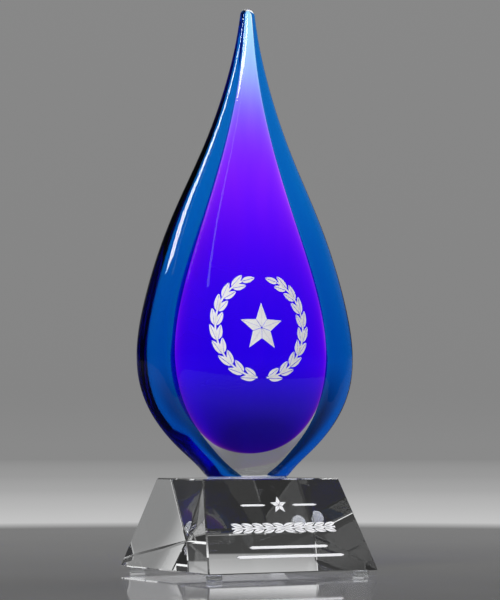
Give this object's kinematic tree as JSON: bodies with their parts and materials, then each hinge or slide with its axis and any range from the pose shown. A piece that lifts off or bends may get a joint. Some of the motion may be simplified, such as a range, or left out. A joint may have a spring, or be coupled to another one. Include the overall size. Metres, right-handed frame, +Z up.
{
  "type": "crystal award",
  "caption": "Tall flattened glass drop with a coloured core and side wings, bonded upright on a cut crystal block that stands on bumper feet.",
  "frame": {"origin": "on the table, below the middle of the base", "axes": "+Z up, the engraved front faces -Y, +X to the right seen from the front"},
  "size_m": [0.1318, 0.101, 0.305],
  "materials": {
    "optical_crystal": "polished colourless optical crystal",
    "clear_glass": "fire-polished colourless glass",
    "violet_blue_glass": "fire-polished blue-violet glass",
    "teal_glass": "fire-polished teal-blue glass",
    "clear_adhesive": "cured clear adhesive",
    "clear_bumper": "clear soft polyurethane",
    "white_fill": "frosted engraving with white colour fill"
  },
  "bodies": {
    "root": {"crystal_base": "optical_crystal", "drop_casing": "clear_glass", "color_core": "violet_blue_glass", "side_wing_left": "teal_glass", "side_wing_right": "teal_glass", "drop_bond": "clear_adhesive", "bumper_foot_front_left": "clear_bumper", "bumper_foot_front_right": "clear_bumper", "bumper_foot_rear_left": "clear_bumper", "bumper_foot_rear_right": "clear_bumper", "foot_adhesive_front_left": "clear_adhesive", "foot_adhesive_front_right": "clear_adhesive", "foot_adhesive_rear_left": "clear_adhesive", "foot_adhesive_rear_right": "clear_adhesive", "emblem_wreath_left": "white_fill", "emblem_wreath_right": "white_fill", "emblem_star": "white_fill", "engraved_star": "white_fill", "engraved_rule_left": "white_fill", "engraved_rule_right": "white_fill", "engraved_garland": "white_fill", "engraved_rule_upper": "white_fill", "engraved_rule_lower": "white_fill"}
  },
  "joints": []
}
